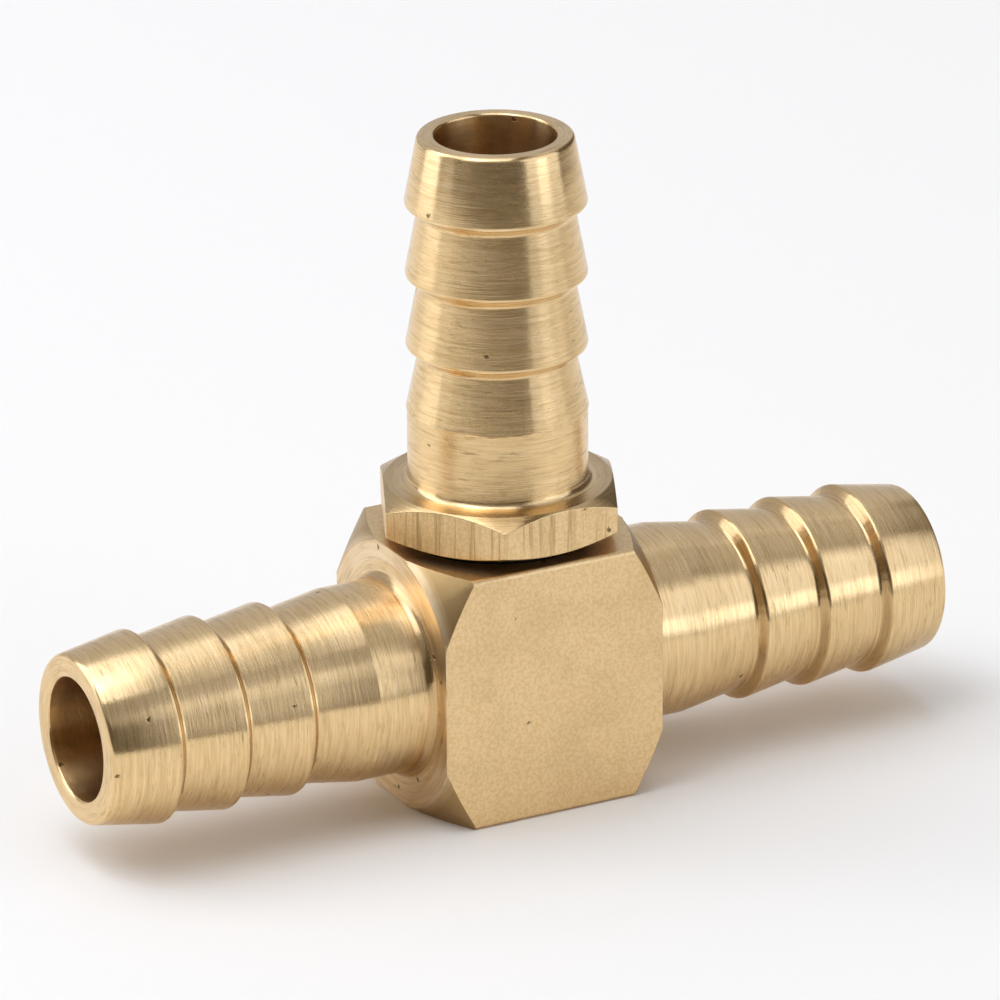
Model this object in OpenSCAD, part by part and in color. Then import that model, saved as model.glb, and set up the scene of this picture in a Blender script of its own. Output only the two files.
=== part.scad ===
// Barbed hose tee for 10 mm (3/8 in) hose.
// The body is turned from rectangular brass bar: a block with a hose barb on each end of the run (X).
// The branch (Z) is turned from hexagon bar and screws into the top of the block on a sealing ring.
// The origin is at the centre of the block's underside. All sizes are in millimetres.

/* [Run barbs] */
// Diameter of the crests and of the plain land behind them
run_crest_d = 11.0; // [10.4:0.1:11.4]
// Diameter of the roots between the crests
run_root_d = 9.8; // [9.2:0.1:10.2]
// Diameter at the tip
run_tip_d = 9.6; // [9.0:0.1:10.0]
// Diameter of the bore right through the run
run_bore_d = 7.0; // [6.0:0.1:7.4]
// Distance from the centre to the outer end of the plain land
run_land_end = 10.3; // [9.5:0.1:11]
// Distance from one crest to the next
run_pitch = 4.05; // [3.8:0.05:4.4]
// Axial length of the steep back of each crest
run_back = 0.38; // [0.2:0.02:0.6]
// Distance from the last crest to the tip
run_nose = 4.0; // [3:0.1:5]

/* [Branch barb] */
// Diameter of the crests and of the plain land below them
branch_crest_d = 10.2; // [9.8:0.1:10.8]
// Diameter of the roots between the crests
branch_root_d = 8.8; // [8.4:0.1:9.4]
// Diameter at the tip
branch_tip_d = 8.7; // [8.3:0.1:9.2]
// Diameter of the bore up the branch
branch_bore_d = 6.8; // [6.0:0.1:7.0]
// Height of the upper end of the plain land above the hexagon
branch_land = 4.25; // [3:0.05:5]
// Distance from the plain land to the lowest crest
branch_first = 3.75; // [3.2:0.05:4.4]
// Distance from one crest to the next
branch_pitch = 4.15; // [3.8:0.05:4.4]
// Axial length of the steep back of each crest
branch_back = 0.52; // [0.2:0.02:0.6]
// Distance from the highest crest to the tip
branch_nose = 3.9; // [3:0.1:5]

/* [Block] */
// Width of the bar (Y)
block_w = 13.3; // [13:0.1:14.4]
// Height of the bar (Z)
block_h = 14.9; // [14:0.1:16]
// Length of the block between its faced ends
block_len = 13.7; // [13:0.1:15]
// Diameter of the flat ring faced on each end, where the turned chamfer starts
face_d = 15.2; // [14:0.1:16]
// Angle of that chamfer, from the end plane
end_chamfer = 38; // [24:1:45]
// Radius along the long edges of the bar
bar_edge_r = 0.3; // [0.1:0.1:0.6]
// Radius of the fillet where a run barb leaves the block
run_fillet = 0.6; // [0.3:0.1:0.8]

/* [Hexagon] */
// Width across the flats
hex_af = 12.9; // [12.2:0.1:14]
// Thickness of the hexagon
hex_thick = 2.6; // [2.2:0.1:3.4]
// Angle of the chamfer round its top, from the top face
hex_top_chamfer = 30; // [20:1:35]
// Angle of the chamfer round its underside, from the underside
hex_low_chamfer = 25; // [15:1:35]
// Angle that the tightened hexagon stops at, from a corner on X
hex_turn = 5; // [0:1:59]
// Gap left between the hexagon and the block
hex_gap = 0.5; // [0.4:0.05:0.8]
// Radius of the fillet where the barb leaves the hexagon
branch_fillet = 0.4; // [0.2:0.1:0.6]

/* [Thread and seal] */
// Outer diameter of the branch's thread (G 1/8 parallel)
thread_d = 9.73; // [9.4:0.01:9.8]
// Radial clearance of the thread in the body
thread_clear = 0.04; // [0.02:0.01:0.08]
// Length of the thread
thread_len = 2.9; // [2.5:0.1:3]
// Diameter of the neck between the hexagon and the thread
neck_d = 8.5; // [8.3:0.1:8.7]
// Depth of the seat for the ring in the top of the block
seat_depth = 0.5; // [0.4:0.05:0.6]
// Diameter of that seat
seat_d = 10.8; // [10.6:0.1:11]
// Clearance round the seated ring
ring_clear = 0.03; // [0.02:0.01:0.05]

/* [Hidden] */
$fn = 96;
crests = 3;
crest_flat = 0.12;      // cylindrical strip on each crest
tip_edge = 0.2;         // chamfer round the outside of a tip
bore_edge = 0.25;       // chamfer round a bore's mouth
fillet_steps = 6;
over = 1;               // how far a cutter runs past a face
run_z = block_h / 2;
run_tip = run_land_end + crests * run_pitch + run_nose;
bar_corner = norm([block_w, block_h]) / 2 + over;
face_x = block_len / 2;
corner_x = face_x - (bar_corner - face_d / 2) * tan(end_chamfer);
hex_corner = hex_af / 2 / cos(30);
hex_low_z = block_h + hex_gap;
hex_top_z = hex_low_z + hex_thick;
hex_rim = hex_corner + over;
branch_land_end = hex_top_z + branch_land;
branch_tip = branch_land_end + branch_first + (crests - 1) * branch_pitch + branch_nose;
seat_z = block_h - seat_depth;
ring_section = hex_gap + seat_depth - 2 * ring_clear;
ring_r = neck_d / 2 + ring_clear + ring_section / 2;
thread_top = seat_z - over / 2;
stub_end = thread_top - thread_len;
tapped_end = stub_end - 0.6;
stub_edge = 0.3;        // lead-in chamfer on the end of the thread

// Outline points [radius, distance] from the land to the tip of a barb: each crest has a
// short flat, a cone that falls towards the tip and a steep back that faces the fitting.
function barb_outline(crest_r, root_r, tip_r, land_end, first_crest, pitch, back, tip) = concat(
    [[crest_r, land_end]],
    [for (i = [0:crests - 1]) let (z = first_crest + i * pitch)
        each [[root_r, z - back], [crest_r, z], [crest_r, z + crest_flat]]],
    [[tip_r, tip - tip_edge], [tip_r - tip_edge, tip], [0, tip]]
);

// Outline points of a concave fillet between a flat face at distance z and a cylinder of
// radius r that stands on it, from the face to the cylinder.
function fillet_outline(r, z, fillet_r) =
    [for (i = [0:fillet_steps]) let (a = -90 - 90 * i / fillet_steps)
        [r + fillet_r + fillet_r * cos(a), z + fillet_r + fillet_r * sin(a)]];

// Half of the run, turned: the chamfer and face on the end of the block, the fillet and the barb.
function run_outline() = concat(
    [[0, 0], [bar_corner, 0], [bar_corner, corner_x], [face_d / 2, face_x]],
    fillet_outline(run_crest_d / 2, face_x, run_fillet),
    barb_outline(run_crest_d / 2, run_root_d / 2, run_tip_d / 2, run_land_end,
        run_land_end + run_pitch, run_pitch, run_back, run_tip)
);

// The branch, turned: stub, thread, neck, hexagon chamfers, fillet and barb.
function branch_outline() = concat(
    [[0, stub_end], [thread_d / 2 - stub_edge, stub_end], [thread_d / 2, stub_end + stub_edge],
     [thread_d / 2, thread_top], [neck_d / 2, thread_top + (thread_d - neck_d) / 2],
     [neck_d / 2, hex_low_z], [hex_af / 2, hex_low_z],
     [hex_rim, hex_low_z + (hex_rim - hex_af / 2) * tan(hex_low_chamfer)],
     [hex_rim, hex_top_z - (hex_rim - hex_af / 2) * tan(hex_top_chamfer)],
     [hex_af / 2, hex_top_z]],
    fillet_outline(branch_crest_d / 2, hex_top_z, branch_fillet),
    barb_outline(branch_crest_d / 2, branch_root_d / 2, branch_tip_d / 2, branch_land_end,
        branch_land_end + branch_first, branch_pitch, branch_back, branch_tip)
);

// Bar along X with rounded long edges.
module bar(w, h, length, edge_r) {
    rotate([90, 0, 90]) {
        translate([-w / 2, -h / 2 + edge_r, -length / 2]) cube([w, h - 2 * edge_r, length]);
        translate([-w / 2 + edge_r, -h / 2, -length / 2]) cube([w - 2 * edge_r, h, length]);
        for (y = [-1, 1], z = [-1, 1])
            translate([y * (w / 2 - edge_r), z * (h / 2 - edge_r), 0])
                cylinder(h = length, r = edge_r, center = true);
    }
}

// Chamfer for a bore's mouth: the wide end is at z = 0 and the bore goes down from it.
module mouth(bore_d) {
    translate([0, 0, -bore_edge]) cylinder(h = bore_edge, d1 = bore_d, d2 = bore_d + 2 * bore_edge);
    cylinder(h = over, d = bore_d + 2 * bore_edge);
}

module turned_run() {
    for (side = [0, 1])
        mirror([side, 0, 0]) rotate([0, 90, 0]) rotate_extrude() polygon(run_outline());
}

module run_bore() {
    rotate([0, 90, 0]) cylinder(h = 2 * (run_tip + over), d = run_bore_d, center = true);
    for (side = [0, 1])
        mirror([side, 0, 0]) translate([run_tip, 0, 0]) rotate([0, 90, 0]) mouth(run_bore_d);
}

// Way down from the top of the block: ring seat, tapped hole and drilled passage to the run.
module branch_port() {
    translate([0, 0, seat_z]) cylinder(h = seat_depth + over, d = seat_d);
    translate([0, 0, tapped_end])
        cylinder(h = seat_z + over / 2 - tapped_end, d = thread_d + 2 * thread_clear);
    translate([0, 0, run_z]) cylinder(h = tapped_end + over / 2 - run_z, d = branch_bore_d);
}

module tee_body() {
    color("#c8a45d")
    difference() {
        translate([0, 0, run_z]) intersection() {
            bar(block_w, block_h, 2 * run_tip + over, bar_edge_r);
            turned_run();
        }
        translate([0, 0, run_z]) run_bore();
        branch_port();
    }
}

module branch_barb() {
    color("#d2b06a")
    difference() {
        intersection() {
            rotate_extrude() polygon(branch_outline());
            rotate([0, 0, hex_turn]) translate([0, 0, stub_end - over])
                cylinder(h = branch_tip - stub_end + 2 * over, r = hex_corner, $fn = 6);
        }
        translate([0, 0, stub_end - over])
            cylinder(h = branch_tip - stub_end + 2 * over, d = branch_bore_d);
        translate([0, 0, branch_tip]) mouth(branch_bore_d);
    }
}

module sealing_ring() {
    color("#26241f")
    translate([0, 0, seat_z + ring_clear + ring_section / 2])
        rotate_extrude() translate([ring_r, 0]) circle(d = ring_section);
}

tee_body();
branch_barb();
sealing_ring();
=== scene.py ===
"""Barbed brass hose tee: detailed meshes and machined-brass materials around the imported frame."""
import math

import bmesh
import bpy
import numpy as np
from mathutils import Matrix, Vector


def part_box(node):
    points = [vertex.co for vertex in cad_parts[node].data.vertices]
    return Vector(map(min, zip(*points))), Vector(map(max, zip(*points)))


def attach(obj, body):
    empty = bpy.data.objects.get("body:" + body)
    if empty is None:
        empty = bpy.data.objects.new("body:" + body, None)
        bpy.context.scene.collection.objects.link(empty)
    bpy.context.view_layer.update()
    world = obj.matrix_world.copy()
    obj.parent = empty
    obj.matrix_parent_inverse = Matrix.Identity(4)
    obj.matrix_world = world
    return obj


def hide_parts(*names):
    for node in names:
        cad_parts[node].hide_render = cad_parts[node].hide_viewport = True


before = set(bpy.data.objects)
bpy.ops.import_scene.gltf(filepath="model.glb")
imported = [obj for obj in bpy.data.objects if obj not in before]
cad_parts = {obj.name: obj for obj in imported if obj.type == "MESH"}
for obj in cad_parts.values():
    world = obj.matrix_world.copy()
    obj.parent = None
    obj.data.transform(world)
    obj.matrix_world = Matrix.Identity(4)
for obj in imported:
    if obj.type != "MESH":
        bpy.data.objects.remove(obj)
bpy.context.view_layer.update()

MM = 0.001


def node_box(node):
    """Low and high corner of a CAD node's box, in millimetres."""
    return [np.array(corner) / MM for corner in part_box(node)]


# Sizes are in millimetres. These come from the frame.
_, body_high = node_box("tee_body")
branch_low, branch_high = node_box("branch_barb")
ring_low, ring_high = node_box("sealing_ring")
RUN_TIP, BLOCK_HALF_W, BLOCK_H = body_high
RUN_Z = BLOCK_H / 2
STUB_END, BRANCH_TIP = branch_low[2], branch_high[2]

CRESTS = 3
# Run barbs.
RUN_CREST_R, RUN_ROOT_R, RUN_TIP_R, RUN_BORE_R = 5.5, 4.9, 4.8, 3.5
RUN_LAND_END, RUN_PITCH, RUN_BACK, RUN_FILLET = 10.3, 4.05, 0.38, 0.6
# Branch barb. Its land is a little slimmer than its crests.
BRANCH_CREST_R, BRANCH_LAND_R, BRANCH_ROOT_R, BRANCH_TIP_R, BRANCH_BORE_R = 5.1, 5.05, 4.4, 4.35, 3.4
BRANCH_LAND_TO_CREST, BRANCH_PITCH, BRANCH_BACK, BRANCH_NOSE = 3.75, 4.15, 0.52, 3.9
BRANCH_FIRST = BRANCH_TIP - BRANCH_NOSE - (CRESTS - 1) * BRANCH_PITCH
BRANCH_LAND_END = BRANCH_FIRST - BRANCH_LAND_TO_CREST
BRANCH_FILLET = 0.4
# Block: a flat ring is faced on each end, with a turned chamfer and a thin tool line round it.
FACE_X, FACE_R = 6.85, 7.6
END_SLOPE = math.tan(math.radians(38))
TOOL_LINE = 0.05
BAR_EDGE_R = 0.3
# Hexagon.
HEX_APOTHEM = 6.45
HEX_TURN = math.radians(5)
HEX_EDGE_R, HEX_FACE_INSET = 0.12, 0.1
HEX_GAP, HEX_THICK = 0.5, 2.6
HEX_LOW_Z = BLOCK_H + HEX_GAP
HEX_TOP_Z = HEX_LOW_Z + HEX_THICK
HEX_TOP_CHAMFER, HEX_LOW_CHAMFER = math.radians(30), math.radians(25)
# Screwed joint, G 1/8. The flanks' steepness and the flats are shares of the thread's depth.
THREAD_R, THREAD_CLEAR, THREAD_PITCH, THREAD_DEPTH = 4.865, 0.04, 0.907, 0.58
THREAD_STEEPNESS, THREAD_FLAT = 1.15, 0.08
NECK_R, SEAT_R, SEAT_DEPTH = 4.25, 5.4, 0.5
SEAT_Z = BLOCK_H - SEAT_DEPTH
THREAD_TOP = SEAT_Z - 0.5
TAPPED_END = STUB_END - 0.6
STUB_LEAD, STUB_INSET = 0.35, 0.5
PORT_EDGE = 0.12
RING_CLEAR = 0.03
# Small rounded edges, and how far the torn edges stray.
EDGE_R, FINE_EDGE_R, BREAK_R = 0.05, 0.03, 0.02
CREST_R, ROOT_R, LAND_EDGE_R, TIP_EDGE_R, BORE_EDGE_R = 0.24, 0.24, 0.1, 0.3, 0.15
TORN_EDGE, TORN_LAND = 0.01, 0.09
# Mesh density.
TURN_STEPS, ARC_STEPS, CORNER_STEPS, THREAD_STEPS = 360, 4, 6, 16
RING_STEPS, RING_SECTION_STEPS = 144, 28
# How far inside a bore its mesh turns back on itself.
BORE_DEPTH = 1


# ---------------------------------------------------------------- outlines

def rounded(points):
    """[(x, y, radius)] to a polyline whose corners are arcs of those radii."""
    straight, most_of_edge = 1e-3, 0.45
    points = [np.array(p, float) for p in points]
    out = [points[0][:2]]
    for before, here, after in zip(points, points[1:], points[2:]):
        into, away = here[:2] - before[:2], after[:2] - here[:2]
        len_in, len_out = np.linalg.norm(into), np.linalg.norm(away)
        into, away = into / len_in, away / len_out
        turn = math.atan2(into[0] * away[1] - into[1] * away[0], into @ away)
        if here[2] == 0 or abs(turn) < straight:
            out.append(here[:2])
            continue
        reach = min(here[2] * math.tan(abs(turn) / 2), most_of_edge * len_in, most_of_edge * len_out)
        radius = reach / math.tan(abs(turn) / 2)
        side = math.copysign(1, turn)
        start = here[:2] - into * reach
        centre = start + side * radius * np.array([-into[1], into[0]])
        arm = start - centre
        for i in range(ARC_STEPS + 1):
            angle = turn * i / ARC_STEPS
            cos, sin = math.cos(angle), math.sin(angle)
            out.append(centre + [cos * arm[0] - sin * arm[1], sin * arm[0] + cos * arm[1]])
    out.append(points[-1][:2])
    return np.array(out)


def ragged(angle, size):
    """Small uneven shift round a turned edge, as where the tool tears the brass."""
    waves = ((7, 0.0, 0.4), (19, 1.3, 0.3), (43, 2.1, 0.2), (71, 0.7, 0.1))
    return size * sum(share * math.sin(count * angle + start) for count, start, share in waves)


def barb_points(crest_r, root_r, tip_r, land_end, first, pitch, back, tip, bore_r, angle):
    """[(distance, radius, corner radius)] of a barb from the end of its land into its bore."""
    out = [(land_end, crest_r, LAND_EDGE_R)]
    for i in range(CRESTS):
        crest = first + i * pitch + ragged(angle + 2.0 * i, TORN_EDGE)
        out += [(crest - back, root_r, ROOT_R), (crest, crest_r, CREST_R)]
    return out + [(tip, tip_r, TIP_EDGE_R), (tip, bore_r, BORE_EDGE_R), (tip - BORE_DEPTH, bore_r, 0)]


def block_end(r_bar):
    """[(x, radius, corner radius)] from the bar's skin down the chamfer to the barb's land."""
    if r_bar > FACE_R + 3 * TOOL_LINE:
        r_start, line = FACE_R, TOOL_LINE
    else:    # the bar is too narrow here for the chamfer, so only a trace of the line is left
        r_start, line = r_bar - TOOL_LINE, TOOL_LINE / 20
    return [(FACE_X - (r_bar - r_start) * END_SLOPE, r_bar, EDGE_R),
            (FACE_X - line * END_SLOPE, r_start + line, 0),
            (FACE_X - line, r_start + line / 2, 0),
            (FACE_X, r_start - line / 2, 0),
            (FACE_X, RUN_CREST_R, RUN_FILLET)]


def bar_radius(angle, half_w, half_h, edge_r):
    """Distance from the middle of a rounded bar's section to its side at an angle."""
    c, s = abs(math.cos(angle)), abs(math.sin(angle))
    if c * half_h > s * half_w:
        if half_w * s / c <= half_h - edge_r:
            return half_w / c
    elif half_h * c / s <= half_w - edge_r:
        return half_h / s
    ray, corner = np.array([c, s]), np.array([half_w - edge_r, half_h - edge_r])
    along = ray @ corner
    return along + math.sqrt(edge_r**2 - (corner @ corner - along**2))


def bar_corner_angles(half_w, half_h, edge_r):
    """Angles of points round the four rounded corners of a bar's section."""
    out = []
    for i in range(CORNER_STEPS + 1):
        turn = math.pi / 2 * i / CORNER_STEPS
        a = math.atan2(half_h - edge_r + edge_r * math.sin(turn),
                       half_w - edge_r + edge_r * math.cos(turn))
        out += [a, math.pi - a, math.pi + a, 2 * math.pi - a]
    return out


def hex_radius(angle):
    """Distance from the axis to the side of the rounded hexagon at an angle."""
    sixth = math.pi / 3
    local = (angle - HEX_TURN + sixth / 2) % sixth - sixth / 2    # from the nearest corner
    corner_r = HEX_APOTHEM / math.cos(sixth / 2)
    centre = corner_r - HEX_EDGE_R / math.cos(sixth / 2)
    flat = HEX_APOTHEM / math.cos(sixth / 2 - abs(local))
    edge = centre * math.sin(sixth / 2)
    if flat * math.sin(sixth / 2 - abs(local)) <= edge:
        return flat
    return centre * math.cos(local) + math.sqrt(HEX_EDGE_R**2 - (centre * math.sin(local))**2)


def hex_corner_angles():
    """Angles of points round the six rounded corners of the hexagon."""
    centre = (HEX_APOTHEM - HEX_EDGE_R) / math.cos(math.pi / 6)
    out = []
    for corner in range(6):
        for i in range(CORNER_STEPS + 1):
            turn = math.pi / 3 * (i / CORNER_STEPS - 0.5)
            x = centre + HEX_EDGE_R * math.cos(turn)
            y = HEX_EDGE_R * math.sin(turn)
            out.append((HEX_TURN + corner * math.pi / 3 + math.atan2(y, x)) % (2 * math.pi))
    return out


def thread_radius(angle, z):
    """Radius of the male thread: a right-hand helix with flattened crests and roots."""
    phase = (z / THREAD_PITCH - angle / (2 * math.pi)) % 1
    height = 0.5 + THREAD_STEEPNESS * (abs(2 * phase - 1) - 0.5)
    height = min(max(height, THREAD_FLAT), 1 - THREAD_FLAT)
    return THREAD_R - THREAD_DEPTH * (1 - height) + THREAD_FLAT * THREAD_DEPTH


# ---------------------------------------------------------------- meshes

TURNED, BACK, FLAT, BORE, PORT, FACED = range(6)    # material slots; the branch has the first four


def angle_list(extra=()):
    """Sorted angles round a full turn: even steps, with more where the shape has corners."""
    step = 2 * math.pi / TURN_STEPS
    clear = 0.3 * step
    even = [2 * math.pi * i / TURN_STEPS for i in range(TURN_STEPS)]
    even = [a for a in even if all(abs(a - b) > clear for b in extra)]
    return sorted(even + list(extra))


def around_x(outline, angle):
    """Points of a [(x, radius)] outline turned to an angle round the run's axis."""
    return np.stack([outline[:, 0], -outline[:, 1] * math.cos(angle),
                     RUN_Z + outline[:, 1] * math.sin(angle)], 1)


def around_z(radius, z, angle):
    """Points at these radii and heights, turned to an angle round the branch's axis."""
    return np.stack([radius * math.cos(angle), radius * math.sin(angle), z], 1)


def fix_mesh(mesh):
    """Joins coincident points and turns every face outwards."""
    same_point, no_length = 2e-7, 1e-7    # metres
    bm = bmesh.new()
    bm.from_mesh(mesh)
    bmesh.ops.remove_doubles(bm, verts=bm.verts, dist=same_point)
    bmesh.ops.dissolve_degenerate(bm, edges=bm.edges, dist=no_length)
    bmesh.ops.recalc_face_normals(bm, faces=bm.faces)
    bm.to_mesh(mesh)
    bm.free()
    mesh.update()


def grid_mesh(name, points, slots, closed_profile=True):
    """Mesh of a grid of points[turn][profile] in millimetres, closed round the turn."""
    turns, count = points.shape[:2]
    steps = count if closed_profile else count - 1
    faces, face_slots = [], []
    for i in range(turns):
        k = (i + 1) % turns
        for j in range(steps):
            m = (j + 1) % count
            faces.append((i * count + j, i * count + m, k * count + m, k * count + j))
            face_slots.append(slots[j])
    mesh = bpy.data.meshes.new(name)
    mesh.from_pydata((points * MM).reshape(-1, 3).tolist(), [], faces)
    mesh.polygons.foreach_set("material_index", face_slots)
    fix_mesh(mesh)
    return mesh


def add_piece(mesh, materials):
    piece = bpy.data.objects.new(mesh.name, mesh)
    bpy.context.scene.collection.objects.link(piece)
    for material in materials:
        mesh.materials.append(material)
    return piece


def finish_surface(piece):
    """Smooth shading with crisp edges, weighted so that flats look flat."""
    sharp_degrees, flat_weight = 32, 80
    piece.data.shade_smooth()
    piece.data.set_sharp_from_angle(angle=math.radians(sharp_degrees))
    weights = piece.modifiers.new("weighted normals", "WEIGHTED_NORMAL")
    weights.keep_sharp = True
    weights.weight = flat_weight


def mark_backs(slots, distance, radius, land_end, root_r, crest_r):
    """Gives the steep backs of the crests the material slot for them."""
    steepness, slack = 0.5, 0.05
    for j in range(len(distance) - 1):
        inner, outer = sorted(radius[j:j + 2])
        steep = outer - inner > steepness * abs(distance[j + 1] - distance[j])
        if steep and inner > root_r - slack and outer < crest_r and abs(distance[j]) > land_end:
            slots[j] = BACK


def tee_points():
    """Grid of the tee body without its port: out along both barbs, back through the bore."""
    face_slack = 0.03
    rows = []
    for angle in angle_list(bar_corner_angles(BLOCK_HALF_W, RUN_Z, BAR_EDGE_R)):
        barb = barb_points(RUN_CREST_R, RUN_ROOT_R, RUN_TIP_R, RUN_LAND_END, RUN_LAND_END + RUN_PITCH,
                           RUN_PITCH, RUN_BACK, RUN_TIP, RUN_BORE_R, angle)
        r_bar = bar_radius(angle, BLOCK_HALF_W, RUN_Z, BAR_EDGE_R)
        half = rounded([(0, r_bar, 0)] + block_end(r_bar) + barb)[1:]
        rows.append(around_x(np.concatenate([half[::-1] * [-1, 1], half]), angle))
    points = np.array(rows)
    count = points.shape[1]
    first = points[0]
    slots = [TURNED] * count
    for j in range(count - 1):
        middle = abs(first[j, 0] + first[j + 1, 0]) / 2
        if FACE_X / 2 < middle < FACE_X + face_slack:
            slots[j] = FACED
        # the fillet at the foot of each run barb takes the painted shade of the crests' backs
        elif FACE_X < middle < FACE_X + RUN_FILLET:
            slots[j] = BACK
    radius = np.hypot(first[:, 1], first[:, 2] - RUN_Z)
    mark_backs(slots, first[:, 0], radius, RUN_LAND_END, RUN_ROOT_R, RUN_CREST_R)
    slots[count // 2 - 1] = FLAT
    slots[0] = slots[-2] = slots[-1] = BORE
    return points, slots


def port_points():
    """Grid of the cutter for the ring seat, the tapped hole and the passage below them."""
    rows_z = np.arange(TAPPED_END + 0.5, SEAT_Z - 0.3, THREAD_PITCH / THREAD_STEPS)
    over, skin = 1, 0.001    # how far the cutter rises past the block, and starts above its skin
    lower = [(0, RUN_Z), (BRANCH_BORE_R, RUN_Z), (BRANCH_BORE_R, TAPPED_END),
             (THREAD_R - THREAD_DEPTH, TAPPED_END + 0.15)]
    upper = [(THREAD_R + THREAD_CLEAR, SEAT_Z - PORT_EDGE), (THREAD_R + 2 * THREAD_CLEAR, SEAT_Z),
             (SEAT_R, SEAT_Z), (SEAT_R, BLOCK_H - PORT_EDGE), (SEAT_R + PORT_EDGE, BLOCK_H + skin),
             (SEAT_R + PORT_EDGE, BLOCK_H + over), (0, BLOCK_H + over)]
    rows = []
    for i in range(TURN_STEPS):
        angle = 2 * math.pi * i / TURN_STEPS
        threads = [(thread_radius(angle, z) + THREAD_CLEAR, z) for z in rows_z]
        outline = np.array(lower + threads + upper)
        rows.append(around_z(outline[:, 0], outline[:, 1], angle))
    points = np.array(rows)
    return points, [PORT] * points.shape[1]


def branch_points():
    """Grid of the branch fitting: up the outside from the stub and down the bore."""
    rows_z = np.arange(STUB_END + STUB_LEAD, THREAD_TOP - 0.2, THREAD_PITCH / THREAD_STEPS)
    inner = HEX_APOTHEM - HEX_FACE_INSET
    lead_r = THREAD_R - STUB_INSET
    stub = rounded([(STUB_END + BORE_DEPTH, BRANCH_BORE_R, 0), (STUB_END, BRANCH_BORE_R, BORE_EDGE_R),
                    (STUB_END, lead_r, EDGE_R), (STUB_END + STUB_LEAD, THREAD_R - 0.1, 0)])[1:]
    neck = [(THREAD_TOP, THREAD_R - 0.45, 0), (THREAD_TOP + 0.2, NECK_R, EDGE_R),
            (HEX_LOW_Z, NECK_R, 0.08)]
    rows = []
    for angle in angle_list(hex_corner_angles()):
        land_end = BRANCH_LAND_END + ragged(angle, TORN_LAND)
        barb = barb_points(BRANCH_CREST_R, BRANCH_ROOT_R, BRANCH_TIP_R, land_end, BRANCH_FIRST,
                           BRANCH_PITCH, BRANCH_BACK, BRANCH_TIP, BRANCH_BORE_R, angle)
        r_hex = hex_radius(angle)
        rise = (r_hex - inner) * math.tan(HEX_LOW_CHAMFER)
        drop = (r_hex - inner) * math.tan(HEX_TOP_CHAMFER)
        threads = [(z, min(thread_radius(angle, z), lead_r + (z - STUB_END))) for z in rows_z]
        hexagon = [(HEX_LOW_Z, inner, FINE_EDGE_R), (HEX_LOW_Z + rise, r_hex, EDGE_R),
                   (HEX_TOP_Z - drop, r_hex, EDGE_R), (HEX_TOP_Z, inner, FINE_EDGE_R),
                   (HEX_TOP_Z, BRANCH_LAND_R, BRANCH_FILLET),
                   (land_end - 0.03, BRANCH_LAND_R, BREAK_R)]
        outline = np.concatenate([stub, threads, rounded(neck + hexagon + barb)])
        rows.append(around_z(outline[:, 1], outline[:, 0], angle))
    points = np.array(rows)
    first = points[0]
    slots = [TURNED] * points.shape[1]
    radius = np.hypot(first[:, 0], first[:, 1])
    mark_backs(slots, first[:, 2], radius, BRANCH_LAND_END, BRANCH_ROOT_R, BRANCH_CREST_R)
    # before the hexagon's side come the neck's first point and the arcs of four corners
    arc = ARC_STEPS + 1
    slots[len(stub) + len(threads) + 4 * arc] = FLAT
    slots[-1] = slots[0] = slots[-2] = BORE
    return points, slots


def ring_points():
    """Grid of the rubber ring, a little flattened where it is squeezed."""
    squareness = 0.8
    middle_r = (ring_high[0] + NECK_R + RING_CLEAR) / 2
    half_w, half_h = ring_high[0] - middle_r, (ring_high[2] - ring_low[2]) / 2
    middle_z = (ring_high[2] + ring_low[2]) / 2
    turns = [2 * math.pi * j / RING_SECTION_STEPS for j in range(RING_SECTION_STEPS)]
    radius = np.array([middle_r + half_w * math.cos(turn) for turn in turns])
    z = np.array([middle_z + half_h * math.copysign(abs(math.sin(turn)) ** squareness, math.sin(turn))
                  for turn in turns])
    points = np.array([around_z(radius, z, 2 * math.pi * i / RING_STEPS) for i in range(RING_STEPS)])
    return points, [0] * RING_SECTION_STEPS


def cut(piece, cutter):
    """Takes the cutter out of the piece for good, and removes the cutter."""
    boolean = piece.modifiers.new("port", "BOOLEAN")
    boolean.operation, boolean.solver, boolean.object = "DIFFERENCE", "EXACT", cutter
    bpy.context.view_layer.update()
    evaluated = piece.evaluated_get(bpy.context.evaluated_depsgraph_get())
    mesh = bpy.data.meshes.new_from_object(evaluated)
    piece.modifiers.remove(boolean)
    old, piece.data = piece.data, mesh
    mesh.name = piece.name
    bpy.data.meshes.remove(old)
    bpy.data.objects.remove(cutter)
    fix_mesh(mesh)


# ---------------------------------------------------------------- materials

# Colours are linear. Noise scales and lines are per metre, and bump depths are in metres.
PALE, BRASS, DULL = (0.94, 0.79, 0.54), (0.86, 0.61, 0.31), (0.72, 0.49, 0.22)
# The first colour here is tarnish in the turning marks and on the bar, and also painted shade on turned
# rims past a radius.
TARNISH_AND_SHADE, PIT = (0.42, 0.27, 0.11), (0.16, 0.10, 0.04)
# The first colour here is darker, redder brass: painted shade inside the bores and the tapped hole.
SHADED_BORE_BRASS, FACED_BRASS = (0.66, 0.38, 0.13), (0.84, 0.66, 0.43)
# The first colour here is darker brass: painted shade on the backs of the run's crests and at its
# fillets.
SHADED_ROOT_BRASS, BAR_BRASS = (0.56, 0.35, 0.15), (0.82, 0.59, 0.31)
RUBBER, RUBBER_DUST = (0.02, 0.019, 0.018), (0.06, 0.055, 0.05)
FLOOR_LOW, FLOOR_HIGH = (0.94, 0.90, 0.82), (0.97, 0.93, 0.85)


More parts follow.
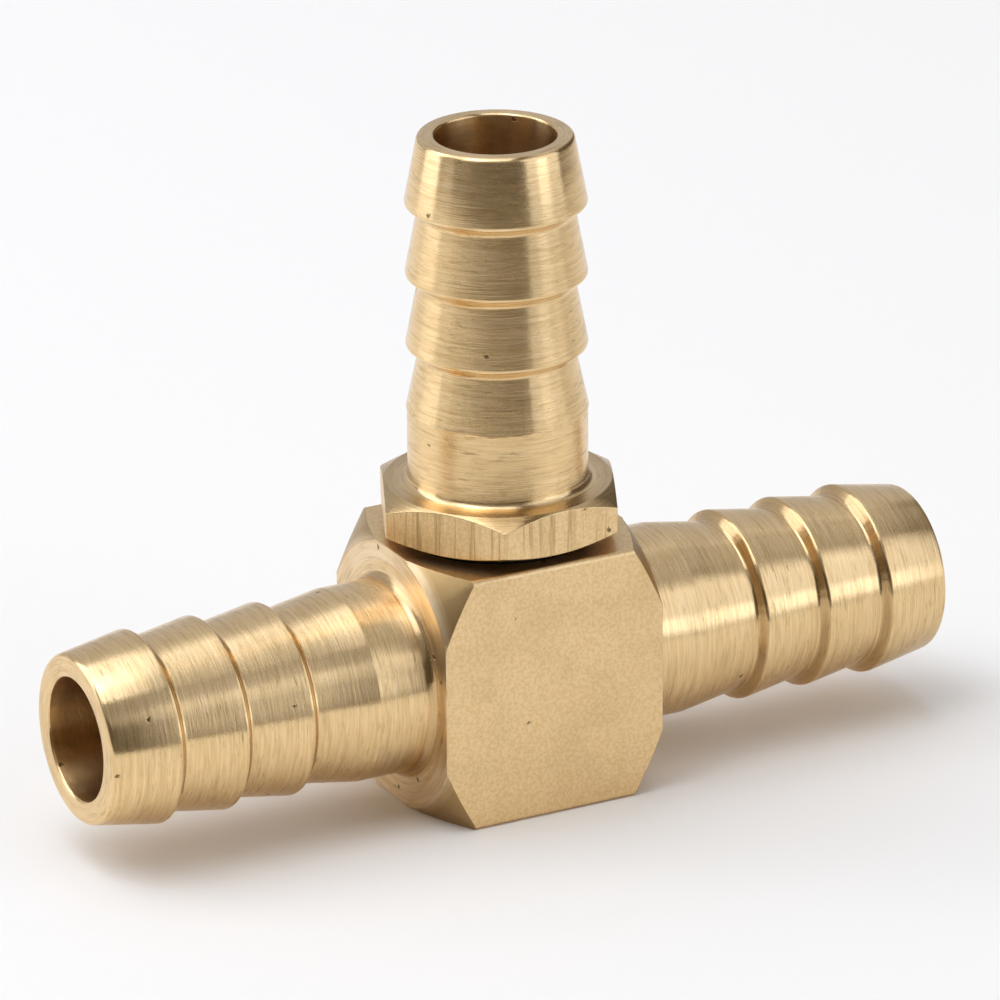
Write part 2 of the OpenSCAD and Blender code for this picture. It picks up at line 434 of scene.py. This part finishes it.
class Nodes:
    """Short way to add and wire shader nodes."""

    def __init__(self, name):
        self.material = bpy.data.materials.new(name)
        self.material.use_nodes = True
        self.tree = self.material.node_tree
        self.shader = self.tree.nodes["Principled BSDF"]

    def add(self, kind, settings=None, **inputs):
        """Adds a node; i0, i1 and so on are inputs by number, and the others are by name."""
        node = self.tree.nodes.new(kind)
        for key, value in (settings or {}).items():
            setattr(node, key, value)
        for key, value in inputs.items():
            self.put(node, key.replace("_", " "), value)
        return node

    def put(self, node, key, value):
        socket = node.inputs[int(key[1:]) if key[0] == "i" and key[1:].isdigit() else key]
        if isinstance(value, bpy.types.NodeSocket):
            self.tree.links.new(value, socket)
        else:
            socket.default_value = value

    def place(self):
        return self.add("ShaderNodeTexCoord").outputs["Object"]

    def math(self, operation, a, b=0.0):
        return self.add("ShaderNodeMath", {"operation": operation}, i0=a, i1=b).outputs[0]

    def vector(self, operation, *values):
        inputs = {f"i{index}": value for index, value in enumerate(values)}
        return self.add("ShaderNodeVectorMath", {"operation": operation}, **inputs).outputs[0]

    def add_all(self, parts):
        """Sum of (value, factor) pairs."""
        total = self.math("MULTIPLY", *parts[0])
        for value, factor in parts[1:]:
            total = self.add("ShaderNodeMath", {"operation": "MULTIPLY_ADD"},
                             i0=value, i1=factor, i2=total).outputs[0]
        return total

    def mix(self, amount, a, b):
        """Colour from a to b."""
        node = self.add("ShaderNodeMix", {"data_type": "RGBA"}, i0=amount)
        for index, value in ((6, a), (7, b)):
            if isinstance(value, tuple):
                value = (*value, 1)
            self.put(node, f"i{index}", value)
        return node.outputs[2]

    def ramp(self, value, low, high, out_low=0.0, out_high=1.0):
        node = self.add("ShaderNodeMapRange", None, i0=value, i1=low, i2=high, i3=out_low, i4=out_high)
        return node.outputs[0]

    def noise(self, where, scale, detail=2.0):
        return self.add("ShaderNodeTexNoise", None, Vector=where, Scale=scale, Detail=detail).outputs[0]

    def bump(self, height, depth):
        return self.add("ShaderNodeBump", None, Height=height, Distance=depth).outputs[0]

    def surface(self, **inputs):
        """Sets inputs of the shader and gives the finished material."""
        for key, value in inputs.items():
            self.put(self.shader, key.replace("_", " "), value)
        return self.material


def turning(nodes, axis, centre):
    """Place from the axis, distance along it, radius, and the two parts of the direction round it."""
    where = nodes.vector("SUBTRACT", nodes.place(), centre)
    parts = nodes.add("ShaderNodeSeparateXYZ", None, i0=where)
    x, y, z = (parts.outputs[i] for i in range(3))
    along, a, b = (x, y, z) if axis == "X" else (z, x, y)
    squares = nodes.math("ADD", nodes.math("MULTIPLY", a, a), nodes.math("MULTIPLY", b, b))
    radius = nodes.math("SQRT", squares)
    return where, along, radius, nodes.math("DIVIDE", a, radius), nodes.math("DIVIDE", b, radius)


def across_rings(nodes, where, axis):
    """World direction along the surface and across the rings, for the tangent."""
    line = (1, 0, 0) if axis == "X" else (0, 0, 1)
    world = nodes.add("ShaderNodeVectorTransform",
                      {"vector_type": "VECTOR", "convert_from": "OBJECT", "convert_to": "WORLD"},
                      i0=nodes.vector("CROSS_PRODUCT", line, where)).outputs[0]
    normal = nodes.add("ShaderNodeNewGeometry").outputs["Normal"]
    return nodes.vector("NORMALIZE", nodes.vector("CROSS_PRODUCT", normal, world))


def ring_noise(nodes, spot, scale, arc, detail=2.0):
    """Noise drawn out round the axis: scale lines in a metre, and the larger arc, the shorter."""
    _, along, radius, cos, sin = spot
    rows = nodes.add("ShaderNodeCombineXYZ", None, i0=nodes.math("MULTIPLY", along, scale),
                     i1=nodes.math("MULTIPLY", cos, arc), i2=nodes.math("MULTIPLY", sin, arc))
    return nodes.add("ShaderNodeTexNoise", {"noise_dimensions": "4D"}, Vector=rows.outputs[0],
                     W=nodes.math("MULTIPLY", radius, scale), Scale=1.0, Detail=detail,
                     Roughness=0.6).outputs[0]


def pits(nodes, where, scale, share):
    """Small scattered pits of uneven shape, 1 inside a pit; share is how many cells have one."""
    wobble = nodes.add("ShaderNodeTexNoise", None, Vector=where, Scale=scale * 4, Detail=1.0)
    bent = nodes.vector("MULTIPLY_ADD", wobble.outputs[1], (0.5 / scale,) * 3, where)
    cells = nodes.add("ShaderNodeTexVoronoi", {"feature": "F1"}, Vector=bent, Scale=scale)
    random = nodes.add("ShaderNodeSeparateColor", None, i0=cells.outputs["Color"]).outputs[0]
    chosen = nodes.math("LESS_THAN", random, share)
    inside = nodes.ramp(cells.outputs["Distance"], 0.26, 0.16)
    return nodes.math("MULTIPLY", chosen, inside)


def turned_brass(name, axis, centre, lines=10500.0, depth=6.5e-6, base=BRASS, rough=0.25,
                 stretch=0.85, painted_shade_from=None, painted_shade_amount=0.95):
    """Brass off a lathe: rings round the axis, broken dark lines, patches of tarnish, pits.

    stretch is the anisotropy, and past a given radius the brass gets painted shade, darkened by the
    given amount.
    """
    nodes = Nodes(name)
    spot = turning(nodes, axis, centre)
    where, radius = spot[0], spot[2]
    rings = ring_noise(nodes, spot, lines, arc=1.8)
    coarse = ring_noise(nodes, spot, lines * 0.45, arc=3.0)
    torn = ring_noise(nodes, spot, lines * 0.9, arc=5.0, detail=3.0)
    waves = ring_noise(nodes, spot, lines * 0.1, arc=0.8, detail=1.0)
    patches = nodes.noise(where, 420.0, 3.0)
    grain = nodes.noise(where, 6500.0)
    holes = pits(nodes, where, 1500.0, 0.018)
    marks = nodes.math("MULTIPLY", nodes.ramp(torn, 0.56, 0.7), nodes.ramp(patches, 0.4, 0.66))
    colour = nodes.mix(nodes.ramp(rings, 0.38, 0.64, 0.0, 0.75), nodes.mix(0.15, base, PALE), DULL)
    colour = nodes.mix(nodes.ramp(coarse, 0.5, 0.72, 0.0, 0.4), colour, TARNISH_AND_SHADE)
    colour = nodes.mix(nodes.math("MULTIPLY", marks, 0.75), colour, TARNISH_AND_SHADE)
    # painted shade: past a radius the brass is darkened towards the tarnish brown, standing in for a
    # dark reflection
    if painted_shade_from:
        outer = nodes.ramp(radius, painted_shade_from * MM, (painted_shade_from + 0.8) * MM, 0.0, painted_shade_amount)
        colour = nodes.mix(outer, colour, TARNISH_AND_SHADE)
    colour = nodes.mix(nodes.math("MULTIPLY", holes, 0.9), colour, PIT)
    height = nodes.add_all([(rings, 1.0), (coarse, 0.8), (waves, 2.0), (grain, 0.35),
                            (marks, -0.5), (holes, -2.5)])
    return nodes.surface(
        Base_Color=colour, Metallic=1.0,
        Roughness=nodes.add_all([(patches, 0.1), (marks, 0.15), (1.0, rough - 0.05)]),
        Anisotropic=stretch, Tangent=across_rings(nodes, where, axis),
        Normal=nodes.bump(height, depth))


def bar_brass(name, axis, streak=0.0, rough=0.36):
    """Brass with the skin of drawn bar: matt grain, pits and, by streak, dark lines along the bar."""
    nodes = Nodes(name)
    where = nodes.place()
    drawn = nodes.vector("MULTIPLY", where, (0.03, 1, 1) if axis == "X" else (1, 1, 0.03))
    lines = nodes.noise(drawn, 5200.0)
    broad = nodes.noise(drawn, 1500.0)
    grain = nodes.noise(where, 5600.0, 4.0)
    patches = nodes.noise(where, 350.0, 4.0)
    holes = pits(nodes, where, 1300.0, 0.02)
    colour = nodes.mix(nodes.ramp(grain, 0.4, 0.62, 0.0, 0.75), nodes.mix(0.1, BAR_BRASS, PALE), DULL)
    colour = nodes.mix(nodes.ramp(patches, 0.45, 0.75, 0.0, 0.2), colour, TARNISH_AND_SHADE)
    colour = nodes.mix(nodes.ramp(lines, 0.54, 0.66, 0.0, 0.75 * streak), colour, TARNISH_AND_SHADE)
    colour = nodes.mix(nodes.ramp(broad, 0.5, 0.75, 0.0, 0.35 * streak), colour, TARNISH_AND_SHADE)
    colour = nodes.mix(nodes.math("MULTIPLY", holes, 0.9), colour, PIT)
    height = nodes.add_all([(grain, 1.0), (lines, 0.2 + 0.2 * streak), (broad, 0.2 * streak),
                            (holes, -2.5)])
    return nodes.surface(
        Base_Color=colour, Metallic=1.0,
        Roughness=nodes.add_all([(patches, 0.12), (1.0, rough - 0.06)]),
        Normal=nodes.bump(height, 7e-6))


def rubber(name):
    """Black rubber with a little pale dust."""
    nodes = Nodes(name)
    dust = nodes.noise(nodes.place(), 2500.0, 3.0)
    return nodes.surface(
        Base_Color=nodes.mix(nodes.ramp(dust, 0.4, 0.8), RUBBER, RUBBER_DUST),
        Roughness=nodes.ramp(dust, 0.3, 0.8, 0.42, 0.6),
        Normal=nodes.bump(dust, 4e-6))


def floor_material():
    nodes = Nodes("pale_floor")
    tone = nodes.noise(nodes.place(), 3.0)
    return nodes.surface(Base_Color=nodes.mix(tone, FLOOR_LOW, FLOOR_HIGH), Roughness=0.7)


# ---------------------------------------------------------------- pieces

def make_tee_body():
    run_centre = (0, 0, RUN_Z * MM)
    # the bores' base colour is painted shade; their lines and roughness are the bored finish
    bore_finish_and_shade = {"lines": 4500.0, "base": SHADED_BORE_BRASS, "rough": 0.3}
    materials = [
        turned_brass("turned_run_brass", "X", run_centre),
        # painted shade: darker brass on the backs of the crests and on the fillets
        turned_brass("run_crest_backs_painted_shade", "X", run_centre, base=SHADED_ROOT_BRASS, stretch=0.5),
        bar_brass("block_bar_brass", "X"),
        turned_brass("run_bore_painted_shade", "X", run_centre, depth=8e-6, **bore_finish_and_shade),
        turned_brass("tapped_hole_painted_shade", "Z", (0, 0, 0), depth=5e-6, **bore_finish_and_shade),
        # painted shade on the chamfer outside the faced ring
        turned_brass("faced_brass", "X", run_centre, lines=5200.0, depth=12e-6, base=FACED_BRASS,
                     rough=0.4, stretch=0.4, painted_shade_from=FACE_R - 0.2),
    ]
    piece = add_piece(grid_mesh("tee_body_detail", *tee_points()), materials)
    cutter = add_piece(grid_mesh("port_cutter", *port_points(), closed_profile=False), materials)
    cut(piece, cutter)
    finish_surface(piece)
    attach(piece, "body")
    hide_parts("tee_body")


def make_branch_barb():
    centre = (0, 0, 0)
    materials = [
        # painted shade on the hexagon's chamfers and top ring, past the crests' radius
        turned_brass("turned_branch_brass", "Z", centre, painted_shade_from=BRANCH_CREST_R + 0.2, painted_shade_amount=0.45),
        # painted highlight: paler brass on the backs of the crests
        turned_brass("branch_crest_backs_painted_highlight", "Z", centre, base=PALE, stretch=0.5),
        bar_brass("hexagon_bar_brass", "Z", streak=1.0),
        # painted shade: darker, redder brass inside the bore
        turned_brass("branch_bore_painted_shade", "Z", centre, lines=4500.0, depth=8e-6, base=SHADED_BORE_BRASS,
                     rough=0.3),
    ]
    piece = add_piece(grid_mesh("branch_barb_detail", *branch_points()), materials)
    finish_surface(piece)
    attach(piece, "branch")
    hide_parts("branch_barb")


def make_sealing_ring():
    piece = add_piece(grid_mesh("sealing_ring_detail", *ring_points()), [rubber("nitrile_rubber")])
    piece.data.shade_smooth()
    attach(piece, "seal")
    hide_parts("sealing_ring")


# ---------------------------------------------------------------- stage, light and camera

SOFTBOX_DISTANCE = 0.8    # from the tee to every light, in metres
SOFTBOX_COLOUR = (0.94, 1.0, 1.14)
ROOM_COLOUR, ROOM_LIGHT = (1.0, 0.83, 0.6, 1), 0.1
BACKDROP_COLOUR = (0.8, 0.8, 0.8, 1)
FLOOR_SIDE, FLOOR_FRONT, FLOOR_BACK = 0.7, -0.11, 0.7    # metres


def direction(azimuth, elevation):
    """Unit vector from the object; azimuth 0 is towards -Y and 90 towards +X."""
    az, el = math.radians(azimuth), math.radians(elevation)
    return Vector((math.sin(az) * math.cos(el), -math.cos(az) * math.cos(el), math.sin(el)))


def softbox(name, azimuth, elevation, wide, high, brightness):
    """Rectangular soft light facing the tee, with its direction and size as degrees from there."""
    light = bpy.data.lights.new(name, "AREA")
    light.shape = "RECTANGLE"
    light.size = 2 * SOFTBOX_DISTANCE * math.tan(math.radians(wide) / 2)
    light.size_y = 2 * SOFTBOX_DISTANCE * math.tan(math.radians(high) / 2)
    light.energy = brightness * math.pi * light.size * light.size_y
    light.color = SOFTBOX_COLOUR
    lamp = bpy.data.objects.new(name, light)
    aim = Vector((0, 0, RUN_Z * MM))
    lamp.location = aim + direction(azimuth, elevation) * SOFTBOX_DISTANCE
    lamp.rotation_euler = direction(azimuth, elevation).to_track_quat("Z", "Y").to_euler()
    lamp.visible_camera = False
    bpy.context.scene.collection.objects.link(lamp)


def make_world():
    """Dim warm room light, with a pale backdrop past the floor's edge."""
    world = bpy.data.worlds.new("studio")
    bpy.context.scene.world = world
    world.use_nodes = True
    tree = world.node_tree
    room = tree.nodes["Background"]
    room.inputs[0].default_value = ROOM_COLOUR
    room.inputs[1].default_value = ROOM_LIGHT
    backdrop = tree.nodes.new("ShaderNodeBackground")
    backdrop.inputs[0].default_value = BACKDROP_COLOUR
    path = tree.nodes.new("ShaderNodeLightPath")
    mix = tree.nodes.new("ShaderNodeMixShader")
    tree.links.new(path.outputs["Is Camera Ray"], mix.inputs[0])
    tree.links.new(room.outputs[0], mix.inputs[1])
    tree.links.new(backdrop.outputs[0], mix.inputs[2])
    tree.links.new(mix.outputs[0], tree.nodes["World Output"].inputs[0])


def make_floor():
    """Pale table top whose front edge, outside the photograph's frame, gives the brass dark bands."""
    mesh = bpy.data.meshes.new("pale_floor")
    corners = [(-FLOOR_SIDE, FLOOR_FRONT, 0), (FLOOR_SIDE, FLOOR_FRONT, 0),
               (FLOOR_SIDE, FLOOR_BACK, 0), (-FLOOR_SIDE, FLOOR_BACK, 0)]
    mesh.from_pydata(corners, [], [(0, 1, 2, 3)])
    add_piece(mesh, [floor_material()])


def make_stage():
    make_floor()
    make_world()
    # azimuth, elevation, width, height and brightness
    softbox("left_key", -128, 21, 32, 48, 2.0)
    softbox("left_fill", -96, 14, 16, 32, 0.35)
    softbox("right_key", 43, 21, 56, 48, 1.12)
    softbox("right_low_key", 40, 8, 16, 14, 1.3)
    softbox("back_fill", 172, 31, 80, 64, 0.5)
    softbox("front_fill", -30, 50, 80, 36, 0.25)
    softbox("right_high_fill", 76, 55, 60, 24, 0.5)
    softbox("top_key", -110, 72, 60, 60, 1.8)
    softbox("top_spot", -90, 72, 20, 16, 3.2)
    bpy.context.scene.view_settings.view_transform = "Standard"


def make_camera():
    """Long-lens camera at the photograph's angle."""
    azimuth, elevation, roll, distance = -27.965, 21.363, math.radians(-0.433), 488.415
    target = Vector((0.116, 0, RUN_Z + 9.089)) * MM
    pixels_per_mm, picture_width, sensor_width = 17.885, 1000, 36
    camera = bpy.data.objects.new("camera", bpy.data.cameras.new("camera"))
    camera.data.sensor_width = sensor_width
    camera.data.lens = sensor_width * (pixels_per_mm * distance / picture_width)
    back = direction(azimuth, elevation)
    right = Vector((0, 0, 1)).cross(back).normalized()
    up = back.cross(right)
    across = math.cos(roll) * right + math.sin(roll) * up
    upward = math.cos(roll) * up - math.sin(roll) * right
    turn = Matrix((across, upward, back)).transposed()
    camera.matrix_world = Matrix.Translation(target + back * distance * MM) @ turn.to_4x4()
    bpy.context.scene.collection.objects.link(camera)
    bpy.context.scene.camera = camera


make_camera()
make_stage()
make_tee_body()
make_branch_barb()
make_sealing_ring()
